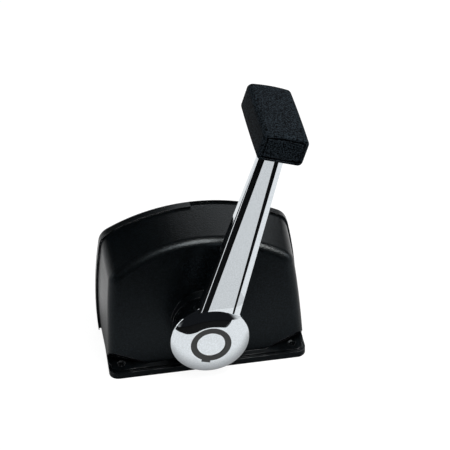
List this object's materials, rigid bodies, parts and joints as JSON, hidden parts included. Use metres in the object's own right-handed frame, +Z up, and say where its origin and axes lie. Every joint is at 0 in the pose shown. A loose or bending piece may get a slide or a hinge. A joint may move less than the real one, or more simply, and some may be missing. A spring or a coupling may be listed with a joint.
{
  "type": "boat throttle control lever",
  "caption": "Top-mount single-lever throttle and shift control: moulded housing, chrome hub and lever with soft grip, gear sector, cable swivels, detent and neutral switch.",
  "frame": {"origin": "middle of the mounting face, under the base", "axes": "+Z up out of the mounting face, +X the forward side of the lever's swing, +Y from the lever through the housing to its back"},
  "size_m": [0.1918, 0.1248, 0.2762],
  "materials": {
    "housing_black": "satin moulded grain",
    "chrome": "polished plate",
    "ring_grey": "satin",
    "grip_soft": "fine grained matte",
    "core_plastic": "moulded",
    "zinc_steel": "zinc plated",
    "shaft_steel": "turned",
    "gear_alloy": "die cast",
    "bronze": "sintered",
    "seal_rubber": "matte",
    "switch_case": "moulded",
    "brass_terminal": "bright"
  },
  "bodies": {
    "housing": {"base_tray": "housing_black", "front_shell": "housing_black", "rear_cover": "housing_black", "cover_screws": "zinc_steel", "shaft_seal": "seal_rubber", "front_plate": "zinc_steel", "rear_plate": "zinc_steel", "foot_screws": "zinc_steel", "spacer_posts": "zinc_steel", "post_screws": "zinc_steel", "front_bush": "bronze", "rear_bush": "bronze", "shift_pin": "shaft_steel", "shift_pin_clip": "shaft_steel", "shift_anchor": "gear_alloy", "throttle_anchor": "gear_alloy", "anchor_screws": "zinc_steel", "spring_block": "gear_alloy", "detent_spring": "shaft_steel", "leaf_screws": "zinc_steel", "block_screws": "zinc_steel", "switch_body": "switch_case", "switch_terminals": "brass_terminal", "switch_screws": "zinc_steel"},
    "lever": {"lever_arm": "chrome", "ring_bezel": "ring_grey", "grip": "grip_soft", "grip_core": "core_plastic", "core_screws": "zinc_steel", "main_shaft": "shaft_steel", "hub_washer": "zinc_steel", "hub_nut": "zinc_steel", "drive_gear": "gear_alloy", "spacer_sleeve": "core_plastic", "detent_disc": "shaft_steel", "throttle_crank": "zinc_steel", "crank_washer": "zinc_steel", "crank_nut": "zinc_steel", "button_spring": "shaft_steel"},
    "button": {"warm_up_button": "chrome", "button_rod": "shaft_steel", "clutch_pin": "shaft_steel"},
    "shift": {"shift_arm": "gear_alloy"},
    "shift_cable_end": {"shift_swivel": "bronze", "shift_swivel_clip": "shaft_steel"},
    "throttle_cable_end": {"throttle_swivel": "bronze", "throttle_swivel_clip": "shaft_steel"},
    "plunger": {"switch_plunger": "core_plastic"}
  },
  "joints": [
    {"name": "lever_swing", "type": "hinge", "parent": "housing", "child": "lever", "pos_m": [0, -0.02, 0.046], "axis": [0, 1, 0], "range_deg": [-65, 65], "deforming": ["detent_spring"]},
    {"name": "button_press", "type": "slide", "parent": "lever", "child": "button", "axis": [0, 1, 0], "range_m": [0, 0.0045], "stiffness_N_per_m": 900, "springref_m": -0.002, "deforming": ["button_spring"]},
    {"name": "shift_swing", "type": "hinge", "parent": "housing", "child": "shift", "pos_m": [0, -0.005, 0.094], "axis": [0, 1, 0], "range_deg": [-32.5, 32.5]},
    {"name": "shift_end_turn", "type": "hinge", "parent": "shift", "child": "shift_cable_end", "pos_m": [-0.04636, 0, 0.08158], "axis": [0, 1, 0], "range_deg": [-32.5, 32.5]},
    {"name": "throttle_end_turn", "type": "hinge", "parent": "lever", "child": "throttle_cable_end", "pos_m": [0, 0.022, 0.08], "axis": [0, 1, 0], "range_deg": [-65, 65]},
    {"name": "switch_press", "type": "slide", "parent": "housing", "child": "plunger", "axis": [0.7071, 0, 0.7071], "range_m": [0, 0.001], "stiffness_N_per_m": 600, "springref_m": -0.001}
  ],
  "couplings": [
    {"joint": "shift_swing", "follows": "lever_swing", "ratio": -0.5},
    {"joint": "shift_end_turn", "follows": "lever_swing", "ratio": 0.5},
    {"joint": "throttle_end_turn", "follows": "lever_swing", "ratio": -1}
  ]
}
